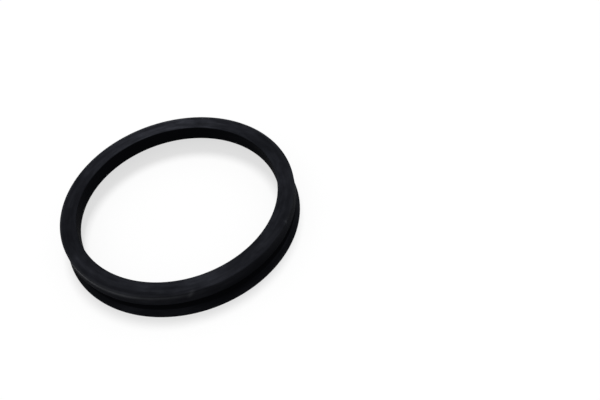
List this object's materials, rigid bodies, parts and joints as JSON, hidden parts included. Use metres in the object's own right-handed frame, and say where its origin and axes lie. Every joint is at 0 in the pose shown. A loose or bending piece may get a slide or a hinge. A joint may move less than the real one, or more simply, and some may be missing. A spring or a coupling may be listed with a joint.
{
  "type": "v-ring seal",
  "caption": "One-piece rubber V-ring shaft seal: solid body with a flat back, an outward-opening V-groove and a thin flared sealing lip.",
  "frame": {"origin": "on the shaft's axis, in the plane in which the lip's edge meets its counterface", "axes": "+Z along the shaft's axis, from the lip towards the flat back of the body; the ring is round, so X and Y are free"},
  "size_m": [0.085, 0.085, 0.011],
  "materials": {
    "nitrile_rubber": "satin, as moulded"
  },
  "bodies": {
    "root": {"v_ring": "nitrile_rubber"}
  },
  "joints": []
}
